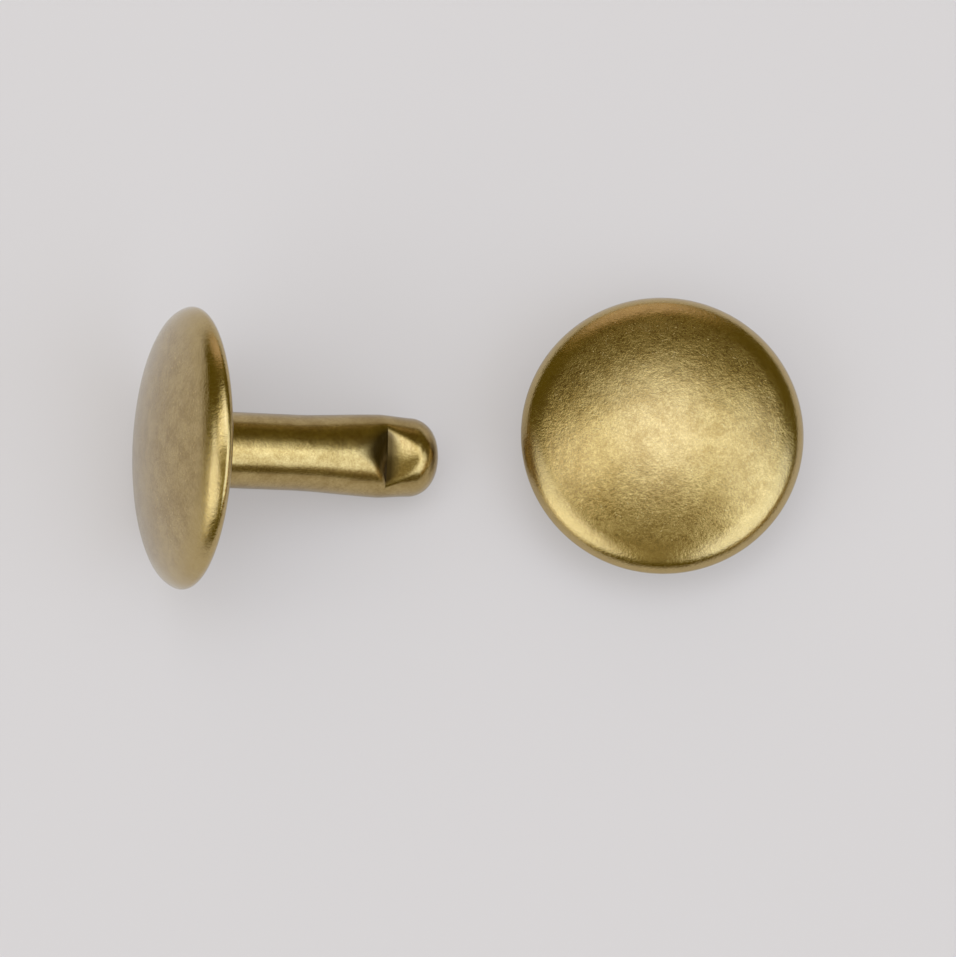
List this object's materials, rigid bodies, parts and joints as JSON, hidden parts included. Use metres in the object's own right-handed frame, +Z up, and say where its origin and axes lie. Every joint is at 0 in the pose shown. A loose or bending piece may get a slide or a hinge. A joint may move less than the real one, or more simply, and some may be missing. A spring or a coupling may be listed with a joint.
{
  "type": "double cap rivet",
  "caption": "Two-part brass rivet with domed caps: one half has a long hollow pinched post, the other a short open socket tube that the post snaps into.",
  "frame": {"origin": "on the surface the halves lie on, under the middle of the box round both halves", "axes": "+Z up, +X from the post half's cap along its post to the socket half, +Y to the back"},
  "size_m": [0.0288, 0.0122, 0.0109],
  "materials": {
    "antique_brass": "antiqued brass, satin with polished edges and fine dark specks"
  },
  "bodies": {
    "root": {"post_cap": "antique_brass", "post": "antique_brass", "socket_cap": "antique_brass", "socket": "antique_brass"}
  },
  "joints": []
}
